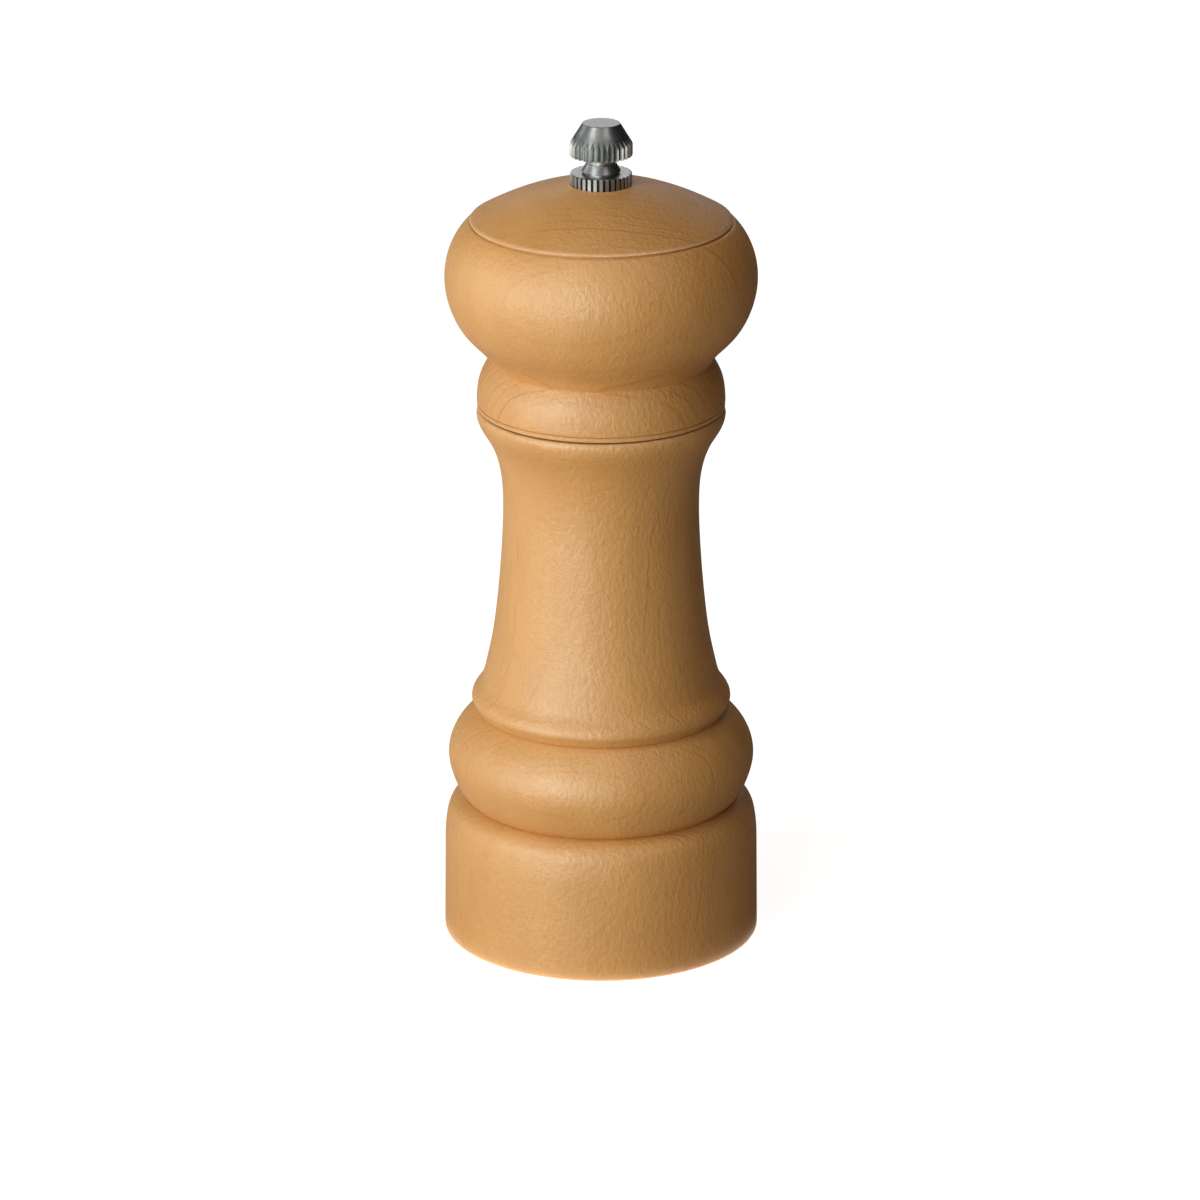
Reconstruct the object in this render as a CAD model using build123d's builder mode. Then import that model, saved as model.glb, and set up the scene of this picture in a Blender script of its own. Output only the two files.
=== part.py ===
from build123d import *
import os
from math import cos, radians, sin

# Pepper mill: a turned wooden body and head, a conical burr grinder in the base, and a square
# shaft that carries the turn of the head down to the rotor. Turning the knob on top draws the
# shaft up and closes the grinding gap.
#
# Millimetres. +Z is the turning axis. The origin is the centre of the base, on the table.

os.makedirs("parts", exist_ok=True)

# Wooden shell
total_height = 150.0
head_radius = 27.5
base_radius = 28.3
edge_round = 0.5
seam_height = 98.2
seam_gap = 0.3
seam_radius = 21.9
seam_chamfer = 0.3
waist_radius = 17.4
waist_height = 81.1
bead_radius = 27.38
bead_height = 33.5
collar_radius = 23.18
collar_height = 44.13
head_centre_height = 122.06
dome_rim = (22.95, 132.7)
dome_rim_lip = 0.1
dome_mouth_height = 139.03

# Hollows turned in the wood
recess_radius = 23.4
recess_depth = 11.0
unit_bore_radius = 16.1
unit_bore_top = 30.0
chamber_radius = 12.75
socket_radius = 14.2
socket_floor = 88.0
tenon_radius = 13.9
tenon_bottom = 88.5
tenon_chamfer = 0.5
shaft_bore_radius = 4.0
lug_pilot_depth = 9.5
plate_pilot_depth = 7.5

# Shaft and thread
square_side = 4.0
square_chamfer = 0.3
square_hole = 4.15
thread_radius = 1.5
thread_clearance_radius = 1.58
square_bottom = 10.0
square_top = 131.0
shaft_bottom = 6.4
shaft_top = 147.6
shaft_end_chamfer = 0.3
clip_groove_radius = 1.65
clip_bottom = 31.4
clip_thickness = 0.6
clip_play = 0.05
clip_radius = 4.3
clip_opening = 2.9
clip_tab_width = 1.3
clip_mouth_width = 2.6

# Knob, washer and ferrule on the head
ferrule_radius = 5.4
ferrule_root_radius = 5.05
ferrule_teeth = 32
ferrule_land_share = 0.55
ferrule_floor_share = 0.25
ferrule_seat = 138.4
ferrule_top = 141.08
ferrule_shank_bottom = 132.0
ferrule_pocket_radius = 5.43
washer_bottom = 141.1
washer_thickness = 0.2
washer_radius = 3.0
knob_bottom = 141.32
knob_foot_radius = 3.42
knob_foot_chamfer = 0.12
knob_skirt_radius = 2.64
knob_skirt_top = 142.9
knob_neck_radius = 2.35
knob_radius = 5.51
knob_root_radius = 4.95
knob_teeth = 32
knob_land_share = 0.08
knob_floor_share = 0.04
knob_band_bottom = 144.2
knob_band_top = 146.35
knob_top_radius = 3.28
knob_bore_radius = 1.55
knob_bore_top = 148.3

# Grinder
burr_bottom = 10.0
burr_top = 14.0
burr_bottom_radius = 11.2
burr_top_radius = 10.1
burr_tooth_depth = 0.8
burr_teeth = 24
burr_land_share = 0.12
burr_floor_share = 0.2
burr_twist = 9.0
grind_gap = 0.35
stator_radius = 14.4
stator_top = 16.0
stator_mouth_radius = 12.8
rotor_top = 19.5
rotor_top_radius = 4.9
rotor_hub_radius = 6.2
rotor_hub_play = 0.05
rotor_lobes = 5
rotor_lobe_depth = 1.9
rotor_lobe_step = 0.15
rotor_lobe_land_share = 0.35
rotor_lobe_floor_share = 0.3
rotor_twist = 70.0
rotor_cone_steps = 5
rotor_washer_radius = 8.0
rotor_washer_thickness = 0.8
nut_thickness = 2.4
nut_across_corners = 6.35
nut_chamfer_radius = 2.75
nut_chamfer_height = 0.3

# Grinder housing, bridge and their screws
housing_radius = 16.0
flange_radius = 19.0
flange_bottom = 9.0
housing_throat_radius = 13.1
housing_top = 28.2
lug_circle = 19.8
lug_radius = 2.7
housing_screw_length = 11.0
housing_screw_head_radius = 2.6
housing_screw_head_height = 1.4
bridge_thickness = 1.6
bridge_play = 0.1
bridge_inner_radius = 12.0
bridge_hub_radius = 5.5
bridge_hole_radius = 2.7
bridge_arm_width = 3.2
bridge_arm_middle = 6.5
bridge_screw_circle = 14.3
bridge_screw_radius = 0.8
bridge_screw_play = 0.05
bridge_screw_length = 6.0
bridge_screw_head_radius = 1.4
bridge_screw_head_height = 0.6
countersink_angle = 90.0
bridge_slot_length = 1.6
bridge_slot_width = 0.35
bridge_slot_depth = 0.4
bridge_pilot_depth = 6.5
screw_count = 3

# Drive plate under the head
plate_radius = 12.2
plate_thickness = 1.2
plate_screw_circle = 9.0
plate_screw_radius = 1.0
plate_screw_play = 0.1
plate_screw_length = 8.0
plate_screw_head_radius = 1.9
plate_screw_head_height = 1.1

# Spring and thrust washer
thrust_washer_bottom = 27.1
thrust_washer_thickness = 1.0
thrust_washer_radius = 4.6
spring_radius = 3.7
spring_wire_radius = 0.45
spring_turns = 5
spring_end_gap = 0.06


def toothed_outline(tip, root, count, tip_share, root_share, turn=0.0):
    """Corner points of a round outline with `count` teeth between two radii.

    tip_share and root_share are the parts of one tooth's pitch that are land and floor.
    """
    pitch = 360.0 / count
    points = []
    for tooth in range(count):
        middle = tooth * pitch + turn
        half_tip = 0.5 * tip_share * pitch
        half_root = 0.5 * (1.0 - root_share) * pitch
        for radius, offset in ((root, -half_root), (tip, -half_tip), (tip, half_tip), (root, half_root)):
            angle = radians(middle + offset)
            points.append((radius * cos(angle), radius * sin(angle)))
    return points


def pan_screws(seat, circle, shank_radius, length, cap_radius, cap_height):
    """Three cross-recessed pan-head screws on a circle, driven upward from the plane z = seat."""
    tip_length = 1.5 * shank_radius
    slot_length = 1.3 * cap_radius
    slot_width = 0.32 * cap_radius
    with BuildPart() as screws:
        with BuildSketch(Plane.XY.offset(seat)):
            with PolarLocations(circle, screw_count):
                Circle(cap_radius)
        extrude(amount=-cap_height)
        fillet(screws.edges().group_by(Axis.Z)[0], 0.6 * cap_height)
        with BuildSketch(Plane.XY.offset(seat - cap_height)):
            with PolarLocations(circle, screw_count):
                Rectangle(slot_length, slot_width)
                Rectangle(slot_width, slot_length)
        extrude(amount=0.6 * cap_height, mode=Mode.SUBTRACT)
        with BuildSketch(Plane.XY.offset(seat)):
            with PolarLocations(circle, screw_count):
                Circle(shank_radius)
        extrude(amount=length)
        chamfer(screws.edges().group_by(Axis.Z)[-1], tip_length, 0.8 * shank_radius)
    return screws


def finish_piece(piece, name):
    """Label a finished piece and write its STEP file."""
    piece.part.label = name
    export_step(piece.part, f"parts/{name}.step")


# Body: foot band and shoulder, bead, collar, long waist, and the rim that carries the head
with BuildPart() as wood_body:
    with BuildSketch(Plane.XZ):
        with BuildLine():
            Line((recess_radius, 0), (base_radius - edge_round, 0))
            TangentArc((base_radius - edge_round, 0), (base_radius, edge_round), tangent=(1, 0))
            band = Line((base_radius, edge_round), (28.1, 17.5))
            Spline(band @ 1, (27.78, 21.3), (26.95, 23.8), (24.0, 25.5), tangents=(band % 1, (-1, 0.12)))
            Spline(
                (24.0, 25.5),
                (26.67, 29.8),
                (bead_radius, bead_height),
                (25.9, 38.15),
                (22.0, 42.0),
                tangents=((0.8, 0.6), (-0.8, 0.55)),
            )
            Spline(
                (22.0, 42.0), (22.75, 43.05), (collar_radius, collar_height), tangents=((0.9, 0.5), (0, 1))
            )
            Spline(
                (collar_radius, collar_height),
                (21.7, 46.87),
                (20.65, 49.85),
                (19.54, 54.97),
                (18.54, 62.2),
                (17.59, 74.0),
                (waist_radius, waist_height),
                (17.97, 87.4),
                (20.01, 92.86),
                (21.94, 96.6),
                (seam_radius, seam_height - seam_chamfer),
                tangents=((0, 1), (-0.5, 1)),
            )
            Polyline(
                (seam_radius, seam_height - seam_chamfer),
                (seam_radius - seam_chamfer, seam_height),
                (socket_radius, seam_height),
                (socket_radius, socket_floor),
                (chamber_radius, socket_floor),
                (chamber_radius, unit_bore_top),
                (unit_bore_radius, unit_bore_top),
                (unit_bore_radius, recess_depth),
                (recess_radius, recess_depth),
                (recess_radius, 0),
            )
        make_face()
    revolve(axis=Axis.Z)
    with BuildSketch(Plane.XY.offset(recess_depth)):
        with PolarLocations(lug_circle, screw_count):
            Circle(thread_radius)
    extrude(amount=lug_pilot_depth, mode=Mode.SUBTRACT)
finish_piece(wood_body, "wood_body")

# Head: tenon, ring with one incised line, neck crease, bulb, and the low dome with its small step
with BuildPart() as wood_head:
    ring_bottom = seam_height + seam_gap
    with BuildSketch(Plane.XZ):
        with BuildLine():
            Polyline(
                (ferrule_pocket_radius, ferrule_seat),
                (shaft_bore_radius, ferrule_seat),
                (shaft_bore_radius, tenon_bottom),
                (tenon_radius - tenon_chamfer, tenon_bottom),
                (tenon_radius, tenon_bottom + tenon_chamfer),
                (tenon_radius, ring_bottom),
                (seam_radius - seam_chamfer, ring_bottom),
                (seam_radius, ring_bottom + seam_chamfer),
                (21.93, 99.25),
                (21.7, 99.4),
                (21.95, 99.55),
            )
            Spline(
                (21.95, 99.55), (21.83, 101.8), (21.47, 103.7), (19.64, 107.2), tangents=((0, 1), (-0.7, 1))
            )
            Spline(
                (19.64, 107.2),
                (22.25, 110.57),
                (24.09, 112.5),
                (26.6, 117.1),
                (head_radius, head_centre_height),
                (26.5, 127.5),
                (23.3, 132.15),
                tangents=((0.45, 1), (-0.85, 0.75)),
            )
            dome_lip = (dome_rim[0] + dome_rim_lip, dome_rim[1] - 1.5 * dome_rim_lip)
            Polyline((23.3, 132.15), (22.75, 132.15), (22.75, 132.4), dome_lip, dome_rim)
            dome = ThreePointArc(dome_rim, (14.5, 136.73), (ferrule_pocket_radius, dome_mouth_height))
            Line(dome @ 1, (ferrule_pocket_radius, ferrule_seat))
        make_face()
    revolve(axis=Axis.Z)
    with BuildSketch(Plane.XY.offset(tenon_bottom)):
        with PolarLocations(plate_screw_circle, screw_count):
            Circle(plate_screw_radius)
    extrude(amount=plate_pilot_depth, mode=Mode.SUBTRACT)
finish_piece(wood_head, "wood_head")

# Ferrule: a straight-fluted disc standing out of the dome, on a plain shank pressed into the bore
with BuildPart() as top_ferrule:
    with BuildSketch(Plane.XY.offset(ferrule_shank_bottom)):
        Circle(shaft_bore_radius)
    extrude(amount=ferrule_seat - ferrule_shank_bottom)
    with BuildSketch(Plane.XY.offset(ferrule_seat)):
        flutes = toothed_outline(
            ferrule_radius, ferrule_root_radius, ferrule_teeth, ferrule_land_share, ferrule_floor_share
        )
        Polygon(*flutes, align=None)
    extrude(amount=ferrule_top - ferrule_seat)
    with BuildSketch(Plane.XY.offset(ferrule_shank_bottom)):
        Circle(thread_clearance_radius)
    extrude(amount=ferrule_top - ferrule_shank_bottom, mode=Mode.SUBTRACT)
finish_piece(top_ferrule, "top_ferrule")

with BuildPart() as knob_washer:
    with BuildSketch(Plane.XY.offset(washer_bottom)):
        Circle(washer_radius)
        Circle(thread_clearance_radius, mode=Mode.SUBTRACT)
    extrude(amount=washer_thickness)
finish_piece(knob_washer, "knob_washer")

# Knob: conical skirt, narrow neck, V-knurled band whose grooves run out on the cone above it
with BuildPart() as adjusting_knob:
    with BuildSketch(Plane.XZ):
        with BuildLine():
            Polyline(
                (knob_bore_radius, knob_bottom),
                (knob_foot_radius - knob_foot_chamfer, knob_bottom),
                (knob_foot_radius, knob_bottom + knob_foot_chamfer),
                (knob_skirt_radius, knob_skirt_top),
                (knob_neck_radius, knob_skirt_top + 0.1),
                (knob_neck_radius, knob_band_bottom),
                (knob_radius, knob_band_bottom),
                (knob_radius, knob_band_top),
                (knob_top_radius, total_height),
                (0, total_height),
                (0, knob_bore_top),
                (knob_bore_radius, knob_bore_top),
                close=True,
            )
        make_face()
    revolve(axis=Axis.Z)
    with BuildSketch(Plane.XY.offset(knob_bottom)):
        knurl = toothed_outline(
            knob_radius, knob_root_radius, knob_teeth, knob_land_share, knob_floor_share
        )
        Polygon(*knurl, align=None)
    extrude(amount=total_height - knob_bottom, mode=Mode.INTERSECT)
finish_piece(adjusting_knob, "adjusting_knob")

# Shaft: square bar, threaded at both ends, with a groove for the clip
with BuildPart() as drive_shaft:
    with BuildSketch(Plane.XY.offset(square_bottom)):
        Rectangle(square_side, square_side)
    extrude(amount=square_top - square_bottom)
    chamfer(drive_shaft.edges().filter_by(Axis.Z), square_chamfer)
    with BuildSketch(Plane.XY.offset(shaft_bottom)):
        Circle(thread_radius)
    extrude(amount=shaft_top - shaft_bottom)
    chamfer(drive_shaft.faces().filter_by(Axis.Z).sort_by(Axis.Z)[-1].edges(), shaft_end_chamfer)
    chamfer(drive_shaft.faces().filter_by(Axis.Z).sort_by(Axis.Z)[0].edges(), shaft_end_chamfer)
    with BuildSketch(Plane.XY.offset(clip_bottom - clip_play)):
        Circle(square_side)
        Circle(clip_groove_radius, mode=Mode.SUBTRACT)
    extrude(amount=clip_thickness + 2 * clip_play, mode=Mode.SUBTRACT)
finish_piece(drive_shaft, "drive_shaft")

# Clip: an E-shaped ring that snaps into the shaft's groove and keeps the shaft in the bridge
with BuildPart() as shaft_clip:
    with BuildSketch(Plane.XY.offset(clip_bottom)):
        Circle(clip_radius)
        Circle(clip_opening, mode=Mode.SUBTRACT)
        with PolarLocations(0.5 * (clip_opening + clip_groove_radius), 3):
            Rectangle(clip_opening - clip_groove_radius + 0.4, clip_tab_width)
        Circle(clip_groove_radius, mode=Mode.SUBTRACT)
        with Locations((-clip_radius, 0)):
            Rectangle(clip_radius + 1.0, clip_mouth_width, mode=Mode.SUBTRACT)
    extrude(amount=clip_thickness)
finish_piece(shaft_clip, "shaft_clip")

# Drive plate: turns the shaft with the head, and lets it slide
with BuildPart() as drive_plate:
    with BuildSketch(Plane.XY.offset(tenon_bottom - plate_thickness)):
        Circle(plate_radius)
        Rectangle(square_hole, square_hole, mode=Mode.SUBTRACT)
        with PolarLocations(plate_screw_circle, screw_count):
            Circle(plate_screw_radius + plate_screw_play, mode=Mode.SUBTRACT)
    extrude(amount=plate_thickness)
finish_piece(drive_plate, "drive_plate")

drive_plate_screws = pan_screws(
    tenon_bottom - plate_thickness,
    plate_screw_circle,
    plate_screw_radius,
    plate_screw_length,
    plate_screw_head_radius,
    plate_screw_head_height,
)
finish_piece(drive_plate_screws, "drive_plate_screws")

# Thrust washer: turns with the shaft under the bridge and takes the push of the spring
with BuildPart() as thrust_washer:
    with BuildSketch(Plane.XY.offset(thrust_washer_bottom)):
        Circle(thrust_washer_radius)
        Rectangle(square_hole, square_hole, mode=Mode.SUBTRACT)
    extrude(amount=thrust_washer_thickness)
finish_piece(thrust_washer, "thrust_washer")

# Spring: pushes the rotor down, away from the stator
with BuildPart() as spring:
    spring_bottom = rotor_top + spring_end_gap + spring_wire_radius
    spring_height = thrust_washer_bottom - spring_end_gap - spring_wire_radius - spring_bottom
    with BuildLine():
        pitch = spring_height / spring_turns
        coil = Helix(pitch, spring_height, spring_radius, center=(0, 0, spring_bottom))
    with BuildSketch(Plane(coil @ 0, z_dir=coil % 0)):
        Circle(spring_wire_radius)
    sweep(is_frenet=True)
finish_piece(spring, "spring")

# Rotor core: a cone with spiral lobes that draws the peppercorns down, on a hexagonal hub
with BuildPart() as rotor_core:
    cone_foot_radius = burr_top_radius - rotor_lobe_step
    for step in range(rotor_cone_steps + 1):
        share = step / rotor_cone_steps
        lobe_radius = cone_foot_radius + share * (rotor_top_radius - cone_foot_radius)
        valley_radius = lobe_radius - rotor_lobe_depth * (1 - share) ** 0.5
        with BuildSketch(Plane.XY.offset(burr_top + share * (rotor_top - burr_top))):
            lobes = toothed_outline(
                lobe_radius,
                valley_radius,
                rotor_lobes,
                rotor_lobe_land_share,
                rotor_lobe_floor_share,
                share * rotor_twist,
            )
            Polygon(*lobes, align=None)
    loft(ruled=True)
    with BuildSketch(Plane.XY.offset(burr_bottom)):
        RegularPolygon(rotor_hub_radius, 6)
    extrude(amount=burr_top - burr_bottom)
    with BuildSketch(Plane.XY.offset(burr_bottom)):
        Rectangle(square_hole, square_hole)
    extrude(amount=rotor_top - burr_bottom, mode=Mode.SUBTRACT)
finish_piece(rotor_core, "rotor_core")

# Rotor burr: toothed ring, wider at the bottom, so that raising it closes the gap
with BuildPart() as rotor_burr:
    burr_ends = ((burr_bottom, burr_bottom_radius, 0), (burr_top, burr_top_radius, burr_twist))
    for height, tip, turn in burr_ends:
        with BuildSketch(Plane.XY.offset(height)):
            root = tip - burr_tooth_depth
            teeth = toothed_outline(tip, root, burr_teeth, burr_land_share, burr_floor_share, turn)
            Polygon(*teeth, align=None)
    loft(ruled=True)
    with BuildSketch(Plane.XY.offset(burr_bottom)):
        RegularPolygon(rotor_hub_radius + rotor_hub_play, 6)
    extrude(amount=burr_top - burr_bottom, mode=Mode.SUBTRACT)
finish_piece(rotor_burr, "rotor_burr")

with BuildPart() as rotor_washer:
    with BuildSketch(Plane.XY.offset(square_bottom - rotor_washer_thickness)):
        Circle(rotor_washer_radius)
        Circle(thread_clearance_radius, mode=Mode.SUBTRACT)
    extrude(amount=rotor_washer_thickness)
finish_piece(rotor_washer, "rotor_washer")

# Nut: an M3 hexagon nut, 5.5 across the flats, with its lower corners turned off
with BuildPart() as rotor_nut:
    nut_top = square_bottom - rotor_washer_thickness
    nut_bottom = nut_top - nut_thickness
    with BuildSketch(Plane.XY.offset(nut_bottom)):
        RegularPolygon(nut_across_corners / 2, 6)
        Circle(knob_bore_radius, mode=Mode.SUBTRACT)
    extrude(amount=nut_thickness)
    with BuildSketch(Plane.XZ):
        with BuildLine():
            Polyline(
                (0, nut_bottom),
                (nut_chamfer_radius, nut_bottom),
                (nut_across_corners / 2, nut_bottom + nut_chamfer_height),
                (nut_across_corners / 2, nut_top),
                (0, nut_top),
                close=True,
            )
        make_face()
    revolve(axis=Axis.Z, mode=Mode.INTERSECT)
finish_piece(rotor_nut, "rotor_nut")

# Stator ring: outer burr, pressed into the housing
with BuildPart() as stator_ring:
    with BuildSketch(Plane.XY.offset(burr_bottom)):
        Circle(stator_radius)
    extrude(amount=stator_top - burr_bottom)
    burr_ends = ((burr_bottom, burr_bottom_radius, 0), (burr_top, burr_top_radius, -burr_twist))
    for height, tip, turn in burr_ends:
        inner = tip + grind_gap
        with BuildSketch(Plane.XY.offset(height)):
            outer = inner + burr_tooth_depth
            teeth = toothed_outline(outer, inner, burr_teeth, burr_floor_share, burr_land_share, turn)
            Polygon(*teeth, align=None)
    loft(ruled=True, mode=Mode.SUBTRACT)
    with BuildSketch(Plane.XZ):
        with BuildLine():
            Polyline(
                (0, burr_top),
                (burr_top_radius + grind_gap + burr_tooth_depth, burr_top),
                (stator_mouth_radius, stator_top),
                (0, stator_top),
                close=True,
            )
        make_face()
    revolve(axis=Axis.Z, mode=Mode.SUBTRACT)
finish_piece(stator_ring, "stator_ring")

# Housing: holds the stator ring, and is screwed up into the recess by three lugs on its flange
with BuildPart() as grinder_housing:
    with BuildSketch(Plane.XZ):
        with BuildLine():
            Polyline(
                (stator_radius, flange_bottom),
                (flange_radius, flange_bottom),
                (flange_radius, recess_depth),
                (housing_radius, recess_depth),
                (housing_radius, housing_top),
                (housing_throat_radius, housing_top),
                (housing_throat_radius, stator_top),
                (stator_radius, stator_top),
                close=True,
            )
        make_face()
    revolve(axis=Axis.Z)
    with BuildSketch(Plane.XY.offset(flange_bottom)):
        with PolarLocations(lug_circle, screw_count):
            Circle(lug_radius)
    extrude(amount=recess_depth - flange_bottom)
    with BuildSketch(Plane.XY.offset(flange_bottom)):
        with PolarLocations(lug_circle, screw_count):
            Circle(thread_clearance_radius)
    extrude(amount=recess_depth - flange_bottom, mode=Mode.SUBTRACT)
    with BuildSketch(Plane.XY.offset(housing_top)):
        with PolarLocations(bridge_screw_circle, screw_count):
            Circle(bridge_screw_radius)
    extrude(amount=-bridge_pilot_depth, mode=Mode.SUBTRACT)
finish_piece(grinder_housing, "grinder_housing")

housing_screws = pan_screws(
    flange_bottom,
    lug_circle,
    thread_radius,
    housing_screw_length,
    housing_screw_head_radius,
    housing_screw_head_height,
)
finish_piece(housing_screws, "housing_screws")

# Bridge: a three-armed spider across the housing, whose hub guides the shaft
with BuildPart() as bridge:
    with BuildSketch(Plane.XY.offset(housing_top)):
        Circle(housing_radius - bridge_play)
        Circle(bridge_inner_radius, mode=Mode.SUBTRACT)
        with PolarLocations(bridge_arm_middle, screw_count, start_angle=60):
            Rectangle(bridge_inner_radius, bridge_arm_width)
        Circle(bridge_hub_radius)
        Circle(bridge_hole_radius, mode=Mode.SUBTRACT)
    extrude(amount=bridge_thickness)
    with Locations((0, 0, housing_top + bridge_thickness)):
        with PolarLocations(bridge_screw_circle, screw_count):
            CounterSinkHole(
                bridge_screw_radius + bridge_screw_play,
                bridge_screw_head_radius + bridge_screw_play,
                bridge_thickness,
                countersink_angle,
            )
finish_piece(bridge, "bridge")

# Bridge screws: countersunk, flush with the bridge
with BuildPart() as bridge_screws:
    bridge_top = housing_top + bridge_thickness
    with BuildSketch(Plane.XY.offset(bridge_top - bridge_screw_head_height)):
        with PolarLocations(bridge_screw_circle, screw_count):
            Circle(bridge_screw_radius)
    extrude(amount=-bridge_screw_length)
    with BuildSketch(Plane.XY.offset(bridge_top)):
        with PolarLocations(bridge_screw_circle, screw_count):
            Circle(bridge_screw_head_radius)
    extrude(amount=-bridge_screw_head_height, taper=countersink_angle / 2)
    with BuildSketch(Plane.XY.offset(bridge_top)):
        with PolarLocations(bridge_screw_circle, screw_count):
            Rectangle(bridge_slot_length, bridge_slot_width)
            Rectangle(bridge_slot_width, bridge_slot_length)
    extrude(amount=-bridge_slot_depth, mode=Mode.SUBTRACT)
finish_piece(bridge_screws, "bridge_screws")
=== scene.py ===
import math

import bmesh
import bpy
import numpy as np
from mathutils import Matrix, Vector


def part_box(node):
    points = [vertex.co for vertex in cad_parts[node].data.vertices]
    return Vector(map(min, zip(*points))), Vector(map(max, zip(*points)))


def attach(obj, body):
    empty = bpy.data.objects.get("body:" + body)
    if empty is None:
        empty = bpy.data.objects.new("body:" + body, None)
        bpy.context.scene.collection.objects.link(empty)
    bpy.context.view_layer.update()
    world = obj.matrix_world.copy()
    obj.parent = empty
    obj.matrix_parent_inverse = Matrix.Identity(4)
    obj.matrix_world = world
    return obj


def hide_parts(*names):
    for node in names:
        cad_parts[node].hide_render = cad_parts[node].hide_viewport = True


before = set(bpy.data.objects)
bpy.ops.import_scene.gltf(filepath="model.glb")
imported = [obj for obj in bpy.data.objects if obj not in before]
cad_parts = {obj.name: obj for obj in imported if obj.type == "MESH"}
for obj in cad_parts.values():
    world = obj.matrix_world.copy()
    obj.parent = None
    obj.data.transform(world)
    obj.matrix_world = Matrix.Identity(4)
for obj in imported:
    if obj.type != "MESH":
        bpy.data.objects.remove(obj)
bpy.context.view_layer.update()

# Pepper mill: the looks. The turned wood, the knurled metal, the threads and the coil spring are
# rebuilt here round the CAD frame, and the plain inner pieces keep their CAD shape.
# Outlines are (radius, height) in millimetres on the turning axis.

MM = 0.001

# Wooden shell
HEAD_RADIUS = 27.5
BASE_RADIUS = 28.3
SEAM_HEIGHT = 98.2
SEAM_GAP = 0.3
RECESS_RADIUS = 23.4
RECESS_DEPTH = 11.0
UNIT_BORE_RADIUS = 16.1
UNIT_BORE_TOP = 30.0
CHAMBER_RADIUS = 12.75
SOCKET_RADIUS = 14.2
SOCKET_FLOOR = 88.0
TENON_RADIUS = 13.9
TENON_BOTTOM = 88.5
SHAFT_BORE_RADIUS = 4.0
WOOD_SEGMENTS = 256
FULL_MASK_BEND = 70  # degrees of turn in the outline

# Ferrule and knob
FERRULE_RADIUS = 5.4
FERRULE_ROOT = 5.05
FERRULE_TEETH = 32
FERRULE_SEAT = 138.4
FERRULE_TOP = 141.08
FERRULE_SHANK_BOTTOM = 132.0
FERRULE_POCKET_RADIUS = 5.43
THREAD_CLEARANCE_RADIUS = 1.58
KNOB_TEETH = 32
KNOB_RADIUS = 5.51
KNOB_ROOT = 4.72
KNOB_BOTTOM = 141.32
KNOB_TOP = 150.0
KNOB_TOP_RADIUS = 3.28
KNOB_BAND_BOTTOM = 144.2
KNOB_BAND_TOP = 146.35
KNOB_NECK_RADIUS = 2.45
KNOB_HOLE_RADIUS = 1.55
KNOB_HOLE_TOP = 148.3
KNURL_SHARP_ABOVE = 13.0  # degrees, so that every facet of the knurl keeps a crisp edge
SLICE_JOIN = 0.002

# Shaft and spring
SQUARE_SIDE = 4.0
SQUARE_CHAMFER = 0.3
SQUARE_BOTTOM = 10.0
SQUARE_TOP = 131.0
THREAD_PITCH = 0.5
THREAD_CORE_RADIUS = 1.22
THREAD_COIL_RADIUS = 1.28
THREAD_WIRE_RADIUS = 0.21
THREAD_END = 0.2
SHAFT_BOTTOM = 6.4
SHAFT_TOP = 147.6
CLIP_BOTTOM = 31.35
CLIP_TOP = 32.05
CLIP_GROOVE_RADIUS = 1.65
SPRING_COIL_RADIUS = 3.7
SPRING_WIRE_RADIUS = 0.45
SPRING_TURNS = 5

# Camera, lights and floor, in metres and degrees
CAMERA_PLACE = (-0.0002, -1.069, 0.4432)
CAMERA_TILT = 19.63
CAMERA_LENS = 190.8
LIGHT_AIM = Vector((0, 0, 0.075))
FLOOR_REACH = 6.0


# ---------------------------------------------------------------- outlines and meshes

def smooth_curve(points, start, end, spacing=0.35):
    """Points along a cubic curve through `points`, which leaves and arrives in the given directions."""
    p = np.array(points, float)
    chords = np.linalg.norm(np.diff(p, axis=0), axis=1)
    count = len(p)
    system = np.zeros((count, count))
    right = np.zeros((count, 2))
    system[0, 0] = system[-1, -1] = 1.0
    right[0] = np.array(start, float) / np.linalg.norm(start)
    right[-1] = np.array(end, float) / np.linalg.norm(end)
    for i in range(1, count - 1):
        before, after = chords[i - 1], chords[i]
        system[i, i - 1:i + 2] = after, 2 * (before + after), before
        right[i] = 3 * (after * (p[i] - p[i - 1]) / before + before * (p[i + 1] - p[i]) / after)
    slopes = np.linalg.solve(system, right)
    curve = []
    for i in range(count - 1):
        steps = max(2, round(chords[i] / spacing))
        for t in np.arange(steps) / steps:
            h = chords[i]
            curve.append(
                (2 * t**3 - 3 * t**2 + 1) * p[i] + (t**3 - 2 * t**2 + t) * h * slopes[i]
                + (3 * t**2 - 2 * t**3) * p[i + 1] + (t**3 - t**2) * h * slopes[i + 1]
            )
    curve.append(p[-1])
    return [tuple(q) for q in curve]


def rounded(before, corner, after, radius, steps=4):
    """A corner of an outline, rounded with a short curve that starts and ends `radius` from it."""
    a, c, b = (np.array(q, float) for q in (before, corner, after))
    first = c + (a - c) / np.linalg.norm(a - c) * radius
    last = c + (b - c) / np.linalg.norm(b - c) * radius
    share = np.linspace(0, 1, steps + 1)
    return [tuple((1 - t)**2 * first + 2 * t * (1 - t) * c + t**2 * last) for t in share]


def divided(outline, longest=1.5):
    """The closed outline with its long runs divided, so that no face of the turned piece is a long strip."""
    result = []
    for a, b in zip(outline, outline[1:] + outline[:1]):
        length = math.dist(a, b)
        if length < 1e-6:
            continue
        parts = max(1, math.ceil(length / longest))
        for k in range(parts):
            result.append((a[0] + (b[0] - a[0]) * k / parts, a[1] + (b[1] - a[1]) * k / parts))
    return result


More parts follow.
